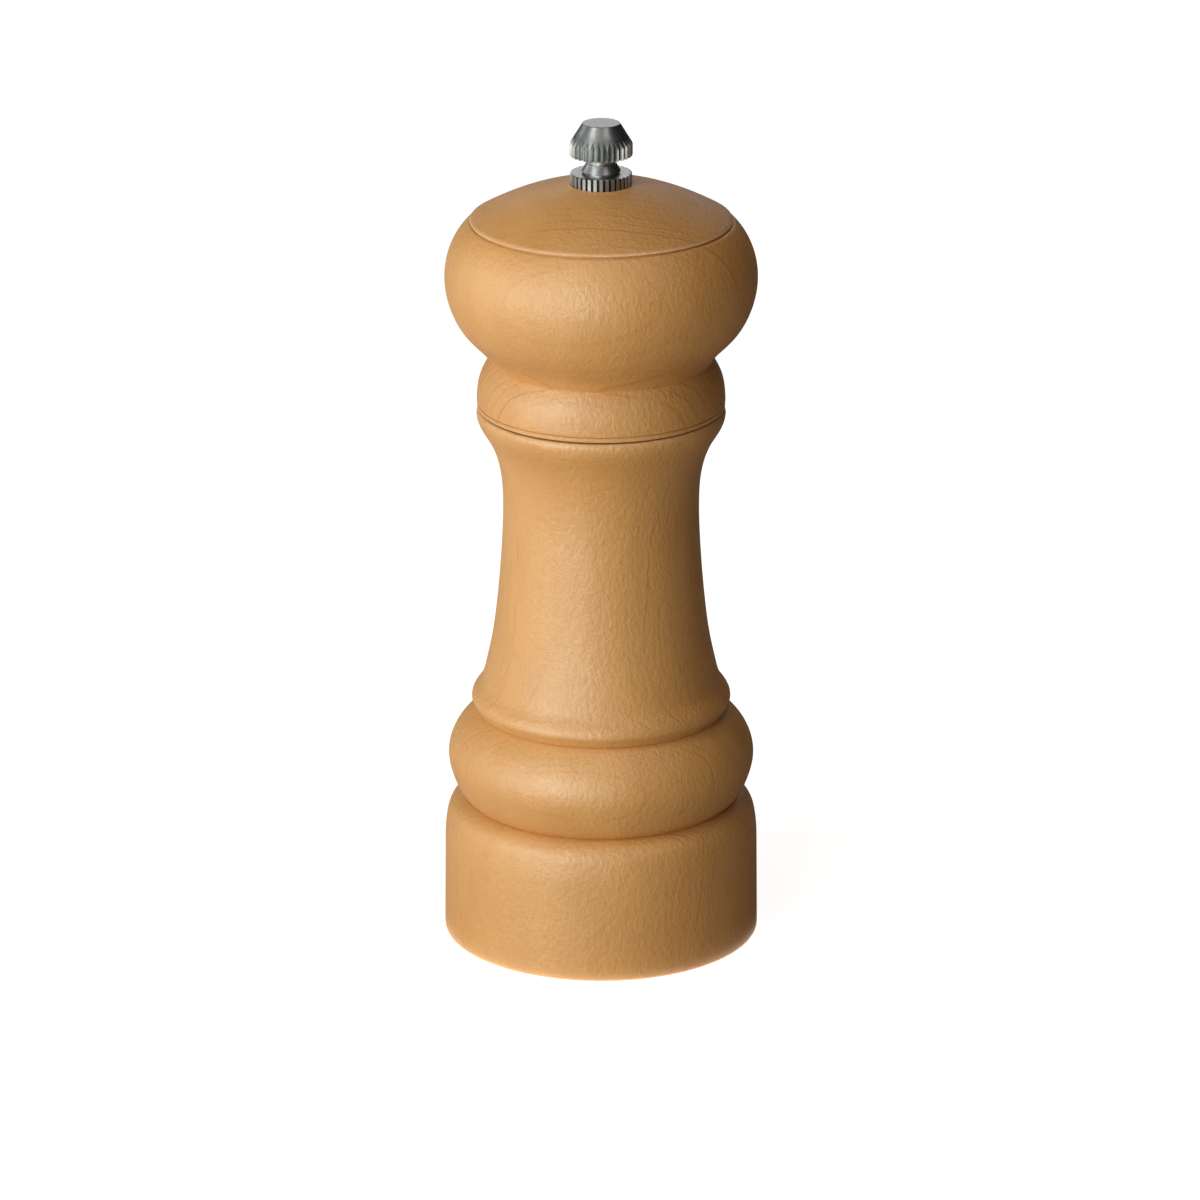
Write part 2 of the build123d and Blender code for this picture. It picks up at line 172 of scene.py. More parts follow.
def bend_along(outline, reach=0.5):
    """How far a closed outline turns near each point: positive on a rim, negative in a crease."""
    p = np.array(outline)
    steps = np.linalg.norm(np.roll(p, -1, 0) - p, axis=1)
    whole = steps.sum()
    at = np.concatenate(([0.0], np.cumsum(steps)))
    closed = np.vstack((p, p[:1]))

    def place(s):
        """The points that lie the lengths `s` along the outline."""
        s = np.mod(s, whole)
        return np.column_stack([np.interp(s, at, closed[:, k]) for k in range(2)])

    here = at[:-1]
    into = p - place(here - reach)
    out = place(here + reach) - p
    return np.arctan2(into[:, 0] * out[:, 1] - into[:, 1] * out[:, 0], (into * out).sum(1))


def link_mesh(name, mesh):
    """An object of the given name that shows the mesh."""
    piece = bpy.data.objects.new(name, mesh)
    bpy.context.scene.collection.objects.link(piece)
    return piece


def shade(mesh, sharp_above):
    """Smooth shading with sharp edges where two faces meet at more than the given angle."""
    mesh.polygons.foreach_set("use_smooth", [True] * len(mesh.polygons))
    mesh.set_sharp_from_angle(angle=math.radians(sharp_above))


def turned_piece(name, outline, material):
    """A body of revolution from a closed outline that runs anticlockwise, with masks of its rims and creases:
    the rims rubbed paler and given a painted highlight, the creases given painted shade.
    """
    outline = divided(outline)
    rings = len(outline)
    turn = bend_along(outline)
    radius = np.array([q[0] for q in outline]) * MM
    height = np.array([q[1] for q in outline]) * MM
    angle = np.arange(WOOD_SEGMENTS) * 2 * math.pi / WOOD_SEGMENTS
    points = np.stack(
        (
            radius[:, None] * np.cos(angle),
            radius[:, None] * np.sin(angle),
            np.repeat(height[:, None], WOOD_SEGMENTS, 1),
        ),
        axis=-1,
    ).reshape(-1, 3)
    faces = []
    for i in range(rings):
        above = (i + 1) % rings
        for j in range(WOOD_SEGMENTS):
            beside = (j + 1) % WOOD_SEGMENTS
            faces.append((
                i * WOOD_SEGMENTS + j,
                i * WOOD_SEGMENTS + beside,
                above * WOOD_SEGMENTS + beside,
                above * WOOD_SEGMENTS + j,
            ))
    mesh = bpy.data.meshes.new(name)
    mesh.from_pydata([tuple(q) for q in points], [], faces)
    # The rim mask carries paler rubbed rims and a painted highlight; the crease mask carries painted shade
    # and a duller gloss.
    for bend_mask, sign in (("worn_and_lit_rim", 1), ("crease", -1)):
        value = np.clip(sign * turn / math.radians(FULL_MASK_BEND), 0, 1)
        attribute = mesh.attributes.new(bend_mask, "FLOAT", "POINT")
        attribute.data.foreach_set("value", np.repeat(value, WOOD_SEGMENTS).astype(np.float32))
    mesh.materials.append(material)
    shade(mesh, sharp_above=50.0)
    return link_mesh(name, mesh)


# ---------------------------------------------------------------- node helpers

def add_node(tree, kind, settings=None, inputs=None):
    """A node with its settings, and its inputs given as values or as the sockets that feed them."""
    node = tree.nodes.new(kind)
    for key, value in (settings or {}).items():
        setattr(node, key, value)
    for key, value in (inputs or {}).items():
        if isinstance(value, bpy.types.NodeSocket):
            tree.links.new(value, node.inputs[key])
        else:
            node.inputs[key].default_value = value
    return node


def maths(tree, operation, a, b=0.0):
    """One sum on values or sockets. An operation on a single value leaves b alone."""
    return add_node(tree, "ShaderNodeMath", {"operation": operation}, {0: a, 1: b}).outputs[0]


def product(tree, a, b):
    return maths(tree, "MULTIPLY", a, b)


def total(tree, *parts):
    """The parts added up, from the first to the last."""
    result = parts[0]
    for part in parts[1:]:
        result = maths(tree, "ADD", result, part)
    return result


def vector_maths(tree, operation, a, b):
    """The same for vectors."""
    return add_node(tree, "ShaderNodeVectorMath", {"operation": operation}, {0: a, 1: b}).outputs[0]


def length_of(tree, vector):
    return add_node(tree, "ShaderNodeVectorMath", {"operation": "LENGTH"}, {0: vector}).outputs["Value"]


def mesh_mask(tree, name):
    """A mask that the mesh carries on its points."""
    return add_node(tree, "ShaderNodeAttribute", {"attribute_name": name}).outputs["Fac"]


def object_place(tree):
    """Where a point of the piece is, in millimetres from the piece's own origin."""
    place = add_node(tree, "ShaderNodeTexCoord").outputs["Object"]
    inputs = {0: place, "Scale": 1 / MM}
    return add_node(tree, "ShaderNodeVectorMath", {"operation": "SCALE"}, inputs).outputs[0]


def noise(tree, vector, scale, detail=2.0, roughness=0.5):
    """A noise texture of the given fineness. Its Fac output is a value, its Color output three."""
    inputs = {"Vector": vector, "Scale": scale, "Detail": detail, "Roughness": roughness}
    return add_node(tree, "ShaderNodeTexNoise", None, inputs)


def between(tree, value, low, high, to_low=0.0, to_high=1.0):
    """The value, taken smoothly from the range low..high to the range to_low..to_high."""
    settings = {"interpolation_type": "SMOOTHSTEP"}
    inputs = {"Value": value, "From Min": low, "From Max": high, "To Min": to_low, "To Max": to_high}
    return add_node(tree, "ShaderNodeMapRange", settings, inputs).outputs[0]


def mixed(tree, share, a, b, blend="MIX"):
    """Colours a and b mixed by share."""
    node = add_node(tree, "ShaderNodeMix", {"data_type": "RGBA", "blend_type": blend})
    for key, value in ((0, share), (6, a), (7, b)):
        if isinstance(value, bpy.types.NodeSocket):
            tree.links.new(value, node.inputs[key])
        else:
            node.inputs[key].default_value = value
    return node.outputs[2]


def new_group(name, kind, inputs, outputs):
    """A node group with named sockets: (name, socket type, default) in, (name, socket type) out."""
    group = bpy.data.node_groups.new(name, kind)
    for label, socket, default in inputs:
        item = group.interface.new_socket(label, in_out="INPUT", socket_type=socket)
        if default is not None:
            item.default_value = default
    for label, socket in outputs:
        group.interface.new_socket(label, in_out="OUTPUT", socket_type=socket)
    return group, group.nodes.new("NodeGroupInput"), group.nodes.new("NodeGroupOutput")


# ---------------------------------------------------------------- shared surface effects

def wood_grain_group():
    """Close-grained hardwood: growth lines, fine fibres, ray flecks, rims rubbed paler by handling with a
    painted highlight on them, painted shade in the creases, and a satin finish.
    """
    group, given, result = new_group(
        "Wood grain",
        "ShaderNodeTree",
        (
            ("Light Wood", "NodeSocketColor", (0.6, 0.3, 0.1, 1)),
            ("Dark Wood", "NodeSocketColor", (0.4, 0.17, 0.05, 1)),
            # The crease colour tints the growth lines, which are grain, and is also the painted shade in the
            # creases.
            ("Line And Crease Shade Wood", "NodeSocketColor", (0.4, 0.15, 0.03, 1)),
            ("Pith Place", "NodeSocketVector", (30.0, 50.0, 0.0)),
            ("Pith Direction", "NodeSocketVector", (0.0, 0.0, 1.0)),
            ("Pith Bow", "NodeSocketFloat", 0.0),
            ("Ring Width", "NodeSocketFloat", 2.6),
            ("Ring Strength", "NodeSocketFloat", 0.5),
            ("Dash Fineness", "NodeSocketFloat", 0.1),
            ("Fleck Strength", "NodeSocketFloat", 0.5),
            ("Gloss Roughness", "NodeSocketFloat", 0.4),
        ),
        (("Color", "NodeSocketColor"), ("Roughness", "NodeSocketFloat"), ("Height", "NodeSocketFloat")),
    )
    place = object_place(group)
    shifted = vector_maths(group, "SUBTRACT", place, given.outputs["Pith Place"])

    def drift(fineness, amount):
        """A push of up to half the amount each way, in millimetres."""
        push = noise(group, shifted, fineness, 1.0).outputs["Color"]
        push = vector_maths(group, "SUBTRACT", push, (0.5, 0.5, 0.5))
        return vector_maths(group, "MULTIPLY", push, (amount, amount, amount))

    # Growth rings: the distance from a bowed pith line, bent by a slow sway and a quick ripple
    bent = vector_maths(group, "ADD", shifted, drift(0.022, 5))
    bent = vector_maths(group, "ADD", bent, drift(0.16, 0.8))
    sideways = add_node(group, "ShaderNodeSeparateXYZ", None, {0: shifted}).outputs[0]
    bow = product(group, product(group, sideways, sideways), given.outputs["Pith Bow"])
    bow = add_node(group, "ShaderNodeCombineXYZ", None, {1: bow}).outputs[0]
    bent = vector_maths(group, "SUBTRACT", bent, bow)
    distance = length_of(group, vector_maths(group, "CROSS_PRODUCT", bent, given.outputs["Pith Direction"]))
    rings = maths(group, "DIVIDE", distance, given.outputs["Ring Width"])

    # Each ring ends in a thin line, darker in some years than in others, that comes and goes along its run
    phase = maths(group, "FRACT", rings)
    line = product(group, between(group, phase, 0.66, 0.93), between(group, phase, 0.94, 1.0, 1.0, 0.0))
    ring_number = maths(group, "FLOOR", rings)
    year = add_node(group, "ShaderNodeTexWhiteNoise", {"noise_dimensions": "1D"}, {"W": ring_number})
    fading = noise(group, shifted, given.outputs["Dash Fineness"], 2.0).outputs["Fac"]
    line = product(group, line, between(group, year.outputs["Value"], 0.1, 1.0, 0.2, 1.0))
    line = product(group, line, between(group, fading, 0.38, 0.56, 0.1, 1.0))

    # Fibres and upright bands, slow changes of tone, and pores
    along_fibres = vector_maths(group, "MULTIPLY", shifted, (1, 1, 0.3))
    along_bands = vector_maths(group, "MULTIPLY", shifted, (1, 1, 0.18))
    fibres = noise(group, along_fibres, 2.2, 5.0, 0.65).outputs["Fac"]
    bands = noise(group, along_bands, 0.16, 3.0).outputs["Fac"]
    patches = noise(group, shifted, 0.06, 2.0).outputs["Fac"]
    pores = noise(group, shifted, 3.6, 2.0, 0.5).outputs["Fac"]

    # Ray flecks: short soft dashes, in some of the cells only
    fleck_place = vector_maths(group, "MULTIPLY", bent, (0.2, 0.2, 0.34))
    fleck_inputs = {"Vector": fleck_place, "Scale": 1.0, "Randomness": 1.0}
    cells = add_node(group, "ShaderNodeTexVoronoi", {"feature": "F1"}, fleck_inputs)
    chosen = add_node(group, "ShaderNodeSeparateColor", None, {0: cells.outputs["Color"]}).outputs[0]
    fleck = between(group, cells.outputs["Distance"], 0.08, 0.3, 1.0, 0.0)
    fleck = product(group, fleck, between(group, chosen, 0.55, 0.8))

    dark = total(
        group,
        between(group, fibres, 0.3, 0.7, -0.05, 0.09),
        between(group, bands, 0.3, 0.7, -0.02, 0.2),
        between(group, patches, 0.3, 0.7, -0.02, 0.25),
        between(group, pores, 0.62, 0.8, 0.0, 0.12),
        product(group, fleck, given.outputs["Fleck Strength"]),
    )
    dark = add_node(group, "ShaderNodeClamp", None, {0: dark}).outputs[0]
    colour = mixed(group, dark, given.outputs["Light Wood"], given.outputs["Dark Wood"])
    line_share = product(group, line, given.outputs["Ring Strength"])
    colour = mixed(group, line_share, colour, given.outputs["Line And Crease Shade Wood"])

    # Rims rubbed a little paler by handling, with a painted highlight on them; creases given a painted shade
    # of deeper orange
    handling = noise(group, shifted, 0.35, 4.0, 0.6).outputs["Fac"]
    rim = mesh_mask(group, "worn_and_lit_rim")
    rim = product(group, product(group, rim, rim), between(group, handling, 0.35, 0.65, 0.3, 0.55))
    colour = mixed(group, rim, colour, (0.86, 0.58, 0.36, 1))
    # Painted shade: the creases mixed towards a deep orange.
    crease = product(group, mesh_mask(group, "crease"), between(group, handling, 0.3, 0.7, 0.8, 0.5))
    colour = mixed(group, crease, colour, given.outputs["Line And Crease Shade Wood"])

    # Gloss: satin, a little duller along the fibres, under smudges and in the creases
    smudge = noise(group, shifted, 0.12, 3.0, 0.6).outputs["Fac"]
    rough = total(
        group,
        given.outputs["Gloss Roughness"],
        between(group, fibres, 0.3, 0.7, -0.03, 0.05),
        between(group, smudge, 0.3, 0.7, -0.04, 0.04),
        product(group, crease, 0.2),
    )

    # Relief: fine sanding rings, orange peel in the sealer, fibres and bands, and the sunk growth lines
    round_axis = vector_maths(group, "MULTIPLY", place, (0.25, 0.25, 2.6))
    up_the_grain = vector_maths(group, "MULTIPLY", shifted, (1, 1, 0.7))
    sanding = noise(group, round_axis, 1.6, 3.0, 0.6).outputs["Fac"]
    peel = noise(group, up_the_grain, 1.25, 4.0, 0.58).outputs["Fac"]
    height = total(
        group, product(group, sanding, 0.22), peel, product(group, fibres, 0.25), product(group, bands, 0.4)
    )
    height = maths(group, "SUBTRACT", height, product(group, line, 0.2))
    for label, socket in (("Color", colour), ("Roughness", rough), ("Height", height)):
        group.links.new(socket, result.inputs[label])
    return group


def tool_marks_group():
    """Turned metal: fine rings round the axis, random scratches, and smudges from handling."""
    group, given, result = new_group(
        "Tool marks",
        "ShaderNodeTree",
        (
            ("Metal Color", "NodeSocketColor", (0.6, 0.6, 0.6, 1)),
            ("Base Roughness", "NodeSocketFloat", 0.3),
            ("Ring Fineness", "NodeSocketFloat", 9.0),
            ("Scratch Strength", "NodeSocketFloat", 0.3),
            ("Smudge Strength", "NodeSocketFloat", 0.1),
            # How strongly painted shade darkens the bottoms of the grooves.
            ("Groove Shade", "NodeSocketFloat", 0.0),
        ),
        (("Color", "NodeSocketColor"), ("Roughness", "NodeSocketFloat"), ("Height", "NodeSocketFloat")),
    )
    place = object_place(group)

    # Turning rings, which follow the radius and the height only
    up = add_node(group, "ShaderNodeSeparateXYZ", None, {0: place}).outputs[2]
    radius = length_of(group, vector_maths(group, "MULTIPLY", place, (1, 1, 0)))
    ring_place = add_node(group, "ShaderNodeCombineXYZ", None, {0: radius, 1: up}).outputs[0]
    rings = noise(group, ring_place, given.outputs["Ring Fineness"], 3.0, 0.7).outputs["Fac"]

    # Scratches, smudges, and painted shade in the grooves
    scratch_place = vector_maths(group, "MULTIPLY", place, (0.6, 6.0, 1.2))
    scratches = between(group, noise(group, scratch_place, 1.3, 4.0, 0.75).outputs["Fac"], 0.6, 0.72)
    smudges = noise(group, place, 0.45, 3.0, 0.6).outputs["Fac"]
    spread = maths(group, "SUBTRACT", smudges, 0.5)
    groove = product(group, mesh_mask(group, "crease"), given.outputs["Groove Shade"])

    rough = total(
        group,
        given.outputs["Base Roughness"],
        between(group, rings, 0.3, 0.7, -0.03, 0.05),
        product(group, scratches, product(group, given.outputs["Scratch Strength"], 0.25)),
        product(group, spread, given.outputs["Smudge Strength"]),
        product(group, groove, 0.2),
    )
    # The grooves darkened by painted shade.
    unshaded = maths(group, "SUBTRACT", 1.0, groove)
    tone = product(group, between(group, smudges, 0.3, 0.7, 0.93, 1.04), unshaded)
    grey = add_node(group, "ShaderNodeCombineColor", None, {0: tone, 1: tone, 2: tone}).outputs[0]
    colour = mixed(group, 1.0, given.outputs["Metal Color"], grey, "MULTIPLY")
    height = maths(group, "SUBTRACT", rings, product(group, scratches, given.outputs["Scratch Strength"]))
    for label, socket in (("Color", colour), ("Roughness", rough), ("Height", height)):
        group.links.new(socket, result.inputs[label])
    return group


WOOD_GRAIN = wood_grain_group()
TOOL_MARKS = tool_marks_group()


# ---------------------------------------------------------------- materials

def finish_material(name, group, values, bump, fixed):
    """A Principled material whose colour, roughness and relief come from a shared group.

    `bump` is the relief's strength and its depth in millimetres, and `fixed` holds the even values.
    """
    material = bpy.data.materials.new(name)
    material.use_nodes = True
    tree = material.node_tree
    tree.nodes.clear()
    surface = tree.nodes.new("ShaderNodeGroup")
    surface.node_tree = group
    for label, value in values.items():
        surface.inputs[label].default_value = value
    shader = add_node(tree, "ShaderNodeBsdfPrincipled", None, fixed)
    tree.links.new(surface.outputs["Color"], shader.inputs["Base Color"])
    tree.links.new(surface.outputs["Roughness"], shader.inputs["Roughness"])
    strength, depth = bump
    relief = add_node(tree, "ShaderNodeBump", None, {"Strength": strength, "Distance": depth * MM})
    tree.links.new(surface.outputs["Height"], relief.inputs["Height"])
    tree.links.new(relief.outputs["Normal"], shader.inputs["Normal"])
    output = tree.nodes.new("ShaderNodeOutputMaterial")
    tree.links.new(shader.outputs[0], output.inputs[0])
    return material


def turned_wood(name, pith_place, pith_direction, pith_bow, ring_width, ring_strength, dash_fineness):
    """Oiled hardwood. The pith is a line, bowed along x, that the growth rings run round."""
    values = {
        "Light Wood": (0.665, 0.322, 0.09, 1),
        "Dark Wood": (0.53, 0.214, 0.041, 1),
        # The growth lines and the painted shade in the creases share this deep orange.
        "Line And Crease Shade Wood": (0.57, 0.215, 0.035, 1),
        "Pith Place": pith_place,
        "Pith Direction": Vector(pith_direction).normalized(),
        "Pith Bow": pith_bow,
        "Ring Width": ring_width,
        "Ring Strength": ring_strength,
        "Dash Fineness": dash_fineness,
        "Fleck Strength": 0.2,
        "Gloss Roughness": 0.5,
    }
    return finish_material(name, WOOD_GRAIN, values, (1.0, 0.17), {"Specular IOR Level": 1.0, "IOR": 1.6})


def tooled_finish(name, colour, roughness, fineness, scratches, smudges, groove_shade, bump, fixed):
    """A finish with tool marks, for metal or for moulded plastic."""
    values = {
        "Metal Color": (*colour, 1),
        "Base Roughness": roughness,
        "Ring Fineness": fineness,
        "Scratch Strength": scratches,
        "Smudge Strength": smudges,
        "Groove Shade": groove_shade,
    }
    return finish_material(name, TOOL_MARKS, values, bump, fixed)


def polished_steel(name, colour, roughness, groove_shade):
    """The visible turned steel: hardly any relief, and painted shade in its grooves."""
    return tooled_finish(name, colour, roughness, 7.0, 0.15, 0.05, groove_shade, (0.05, 0.002), {"Metallic": 1.0})


def rough_steel(name, colour, roughness, fineness, scratches, smudges):
    """The steel of the mechanism, with plain tool marks."""
    marks = (0.35, 0.01)
    return tooled_finish(name, colour, roughness, fineness, scratches, smudges, 0.0, marks, {"Metallic": 1.0})


body_wood = turned_wood(
    "body_wood",
    pith_place=(10.0, 38.0, 0.0),
    pith_direction=(0.0, 0.13, 1.0),
    pith_bow=0.0,
    ring_width=1.4,
    ring_strength=0.4,
    dash_fineness=0.13,
)
head_wood = turned_wood(
    "head_wood",
    pith_place=(0.0, 45.0, 116.0),
    pith_direction=(1.0, -0.07, 0.05),
    pith_bow=0.012,
    ring_width=1.7,
    ring_strength=1.2,
    dash_fineness=0.06,
)
# Painted shade in the grooves: a little on the knob, nearly black in the ferrule's flutes.
knob_steel = polished_steel("knob_steel", (0.44, 0.45, 0.455), 0.36, groove_shade=0.35)
ferrule_steel = polished_steel("ferrule_steel", (0.42, 0.42, 0.415), 0.34, groove_shade=0.92)
zinc_steel = rough_steel("zinc_steel", (0.56, 0.57, 0.6), 0.33, fineness=5.0, scratches=0.5, smudges=0.18)
burr_steel = rough_steel("burr_steel", (0.17, 0.16, 0.155), 0.42, fineness=4.0, scratches=0.8, smudges=0.25)
nylon = tooled_finish(
    "black_nylon",
    (0.022, 0.022, 0.024),
    roughness=0.5,
    fineness=3.0,
    scratches=0.5,
    smudges=0.25,
    groove_shade=0.0,
    bump=(0.5, 0.02),
    fixed={"Specular IOR Level": 0.5},
)


# ---------------------------------------------------------------- Geometry Nodes

def ring_of_copies_tree():
    """Copies one slice of a piece evenly round the turning axis and joins them into one closed skin."""
    group, given, result = new_group(
        "Ring of copies",
        "GeometryNodeTree",
        (
            ("Geometry", "NodeSocketGeometry", None),
            ("Count", "NodeSocketInt", 32),
            ("Join Distance", "NodeSocketFloat", 1e-6),
            ("Material", "NodeSocketMaterial", None),
        ),
        (("Geometry", "NodeSocketGeometry"),),
    )
    points = add_node(group, "GeometryNodePoints", None, {"Count": given.outputs["Count"]})
    index = add_node(group, "GeometryNodeInputIndex").outputs[0]
    step = maths(group, "DIVIDE", 2 * math.pi, given.outputs["Count"])
    turn = add_node(group, "ShaderNodeCombineXYZ", None, {2: product(group, index, step)}).outputs[0]
    copies = add_node(group, "GeometryNodeInstanceOnPoints", None, {
        "Points": points.outputs[0],
        "Instance": given.outputs["Geometry"],
        "Rotation": turn,
    })
    real = add_node(group, "GeometryNodeRealizeInstances", None, {0: copies.outputs[0]})
    joined = add_node(group, "GeometryNodeMergeByDistance", None, {
        "Geometry": real.outputs[0],
        "Distance": given.outputs["Join Distance"],
    })
    painted = add_node(group, "GeometryNodeSetMaterial", None, {
        "Geometry": joined.outputs[0],
        "Material": given.outputs["Material"],
    })
    group.links.new(painted.outputs[0], result.inputs[0])
    return group


def wound_wire_tree():
    """A helix of wire or a screw thread: a small section carried round a coil, on a core if one is wanted."""
    group, given, result = new_group(
        "Wound wire",
        "GeometryNodeTree",
        (
            ("Geometry", "NodeSocketGeometry", None),
            ("Coil Radius", "NodeSocketFloat", 0.001),
            ("Wire Radius", "NodeSocketFloat", 0.0002),
            ("Wire Sides", "NodeSocketInt", 8),
            ("Pitch", "NodeSocketFloat", 0.0005),
            ("Height", "NodeSocketFloat", 0.01),
            ("Base Height", "NodeSocketFloat", 0.0),
            ("Steps Per Turn", "NodeSocketInt", 32),
            ("Material", "NodeSocketMaterial", None),
        ),
        (("Geometry", "NodeSocketGeometry"),),
    )
    turns = maths(group, "DIVIDE", given.outputs["Height"], given.outputs["Pitch"])
    spiral = add_node(group, "GeometryNodeCurveSpiral", None, {
        "Resolution": given.outputs["Steps Per Turn"],
        "Rotations": turns,
        "Start Radius": given.outputs["Coil Radius"],
        "End Radius": given.outputs["Coil Radius"],
        "Height": given.outputs["Height"],
    })
    section = add_node(group, "GeometryNodeCurvePrimitiveCircle", None, {
        "Resolution": given.outputs["Wire Sides"],
        "Radius": given.outputs["Wire Radius"],
    })
    wire = add_node(group, "GeometryNodeCurveToMesh", None, {
        "Curve": spiral.outputs[0],
        "Profile Curve": section.outputs[0],
        "Fill Caps": True,
    })
    lift = add_node(group, "ShaderNodeCombineXYZ", None, {2: given.outputs["Base Height"]}).outputs[0]
    placed = add_node(group, "GeometryNodeTransform", None, {
        "Geometry": wire.outputs[0],
        "Translation": lift,
    })
    joined = add_node(group, "GeometryNodeJoinGeometry")
    group.links.new(given.outputs["Geometry"], joined.inputs[0])
    group.links.new(placed.outputs[0], joined.inputs[0])
    real = add_node(group, "GeometryNodeRealizeInstances", None, {0: joined.outputs[0]})
    painted = add_node(group, "GeometryNodeSetMaterial", None, {
        "Geometry": real.outputs[0],
        "Material": given.outputs["Material"],
    })
    group.links.new(painted.outputs[0], result.inputs[0])
    return group


RING_OF_COPIES = ring_of_copies_tree()
WOUND_WIRE = wound_wire_tree()


def made_by(tree, name, mesh, values, sharp_above=30.0):
    """A plain mesh piece: the tree run on `mesh` with its inputs set by name, its faces turned outward."""
    source = link_mesh(name + "_source", mesh)
    modifier = source.modifiers.new("made", "NODES")
    modifier.node_group = tree
    for item in tree.interface.items_tree:
        if item.in_out == "INPUT" and item.name in values:
            modifier[item.identifier] = values[item.name]
    source.data.update()
    bpy.context.view_layer.update()
    evaluated = source.evaluated_get(bpy.context.evaluated_depsgraph_get())
    made = bpy.data.meshes.new_from_object(evaluated)
    made.name = name
    bpy.data.objects.remove(source)
    outward = bmesh.new()
    outward.from_mesh(made)
    bmesh.ops.recalc_face_normals(outward, faces=outward.faces)
    outward.to_mesh(made)
    outward.free()
    shade(made, sharp_above)
    return link_mesh(name, made)


def slice_mesh(name, rows, angles, root_radius, extra_faces=None):
    """One slice of a piece, with the bottoms of its grooves, at root_radius, marked as creases.

    A row gives a radius for each angle, or one for all, and a height. Radius 0 is a pole.
    """
    builder = bmesh.new()
    grid = []
    for radii, height in rows:
        if not isinstance(radii, tuple):
            radii = (radii,) * len(angles)
        if max(radii) == 0:
            pole = builder.verts.new((0, 0, height * MM))
            grid.append([pole] * len(angles))
            continue
        grid.append([
            builder.verts.new((r * MM * math.cos(a), r * MM * math.sin(a), height * MM))
            for r, a in zip(radii, angles)
        ])
    for upper, lower in zip(grid, grid[1:]):
        for k in range(len(angles) - 1):
            corners = []
            for vert in (upper[k], lower[k], lower[k + 1], upper[k + 1]):
                if vert not in corners:
                    corners.append(vert)
            split = extra_faces(k, upper, lower) if extra_faces else None
            for face in [corners] if split is None else split:
                builder.faces.new(face)
    mesh = bpy.data.meshes.new(name)
    builder.to_mesh(mesh)
    builder.free()
    crease = mesh.attributes.new("crease", "FLOAT", "POINT")
    for vert in mesh.vertices:
        crease.data[vert.index].value = abs(math.hypot(vert.co.x, vert.co.y) / MM - root_radius) < 0.01
    return mesh


# ---------------------------------------------------------------- the wooden shell

def body_outline():
    """The turned body, from the foot up the outside to the rim, and down through the socket and chamber."""
    foot = rounded((RECESS_RADIUS, 0), (BASE_RADIUS, 0), (BASE_RADIUS, 5), 0.6)
    foot_inside = rounded((RECESS_RADIUS, 5), (RECESS_RADIUS, 0), (BASE_RADIUS, 0), 0.4)
    shoulder = smooth_curve(
        ((28.1, 17.5), (27.78, 21.3), (26.95, 23.8), (24.0, 25.5)),
        (-0.012, 1),
        (-1, 0.12),
    )
    bead = smooth_curve(
        ((24.0, 25.5), (26.67, 29.8), (27.38, 33.5), (25.9, 38.15), (22.0, 42.0)),
        (0.8, 0.6),
        (-0.8, 0.55),
    )
    lip = smooth_curve(((22.0, 42.0), (22.75, 43.05), (23.18, 44.13)), (0.9, 0.5), (0, 1), 0.2)
    waist = smooth_curve(
        (
            (23.18, 44.13),
            (21.7, 46.87),
            (20.65, 49.85),
            (19.54, 54.97),
            (18.54, 62.2),
            (17.59, 74.0),
            (17.4, 81.1),
            (17.97, 87.4),
            (20.01, 92.86),
            (21.94, 96.6),
            (21.9, SEAM_HEIGHT - 0.3),
        ),
        (0, 1),
        (-0.5, 1),
        0.6,
    )
    rim = rounded((21.9, SEAM_HEIGHT - 1), (21.75, SEAM_HEIGHT), (20, SEAM_HEIGHT), 0.3)
    socket_mouth = rounded((20, SEAM_HEIGHT), (SOCKET_RADIUS, SEAM_HEIGHT), (SOCKET_RADIUS, 90), 0.4)
    inside = [
        (SOCKET_RADIUS, SOCKET_FLOOR),
        (CHAMBER_RADIUS, SOCKET_FLOOR),
        (CHAMBER_RADIUS, UNIT_BORE_TOP),
        (UNIT_BORE_RADIUS, UNIT_BORE_TOP),
        (UNIT_BORE_RADIUS, RECESS_DEPTH),
        (RECESS_RADIUS, RECESS_DEPTH),
    ]
    return foot_inside + foot + shoulder + bead[1:] + lip[1:] + waist[1:] + rim[1:] + socket_mouth + inside


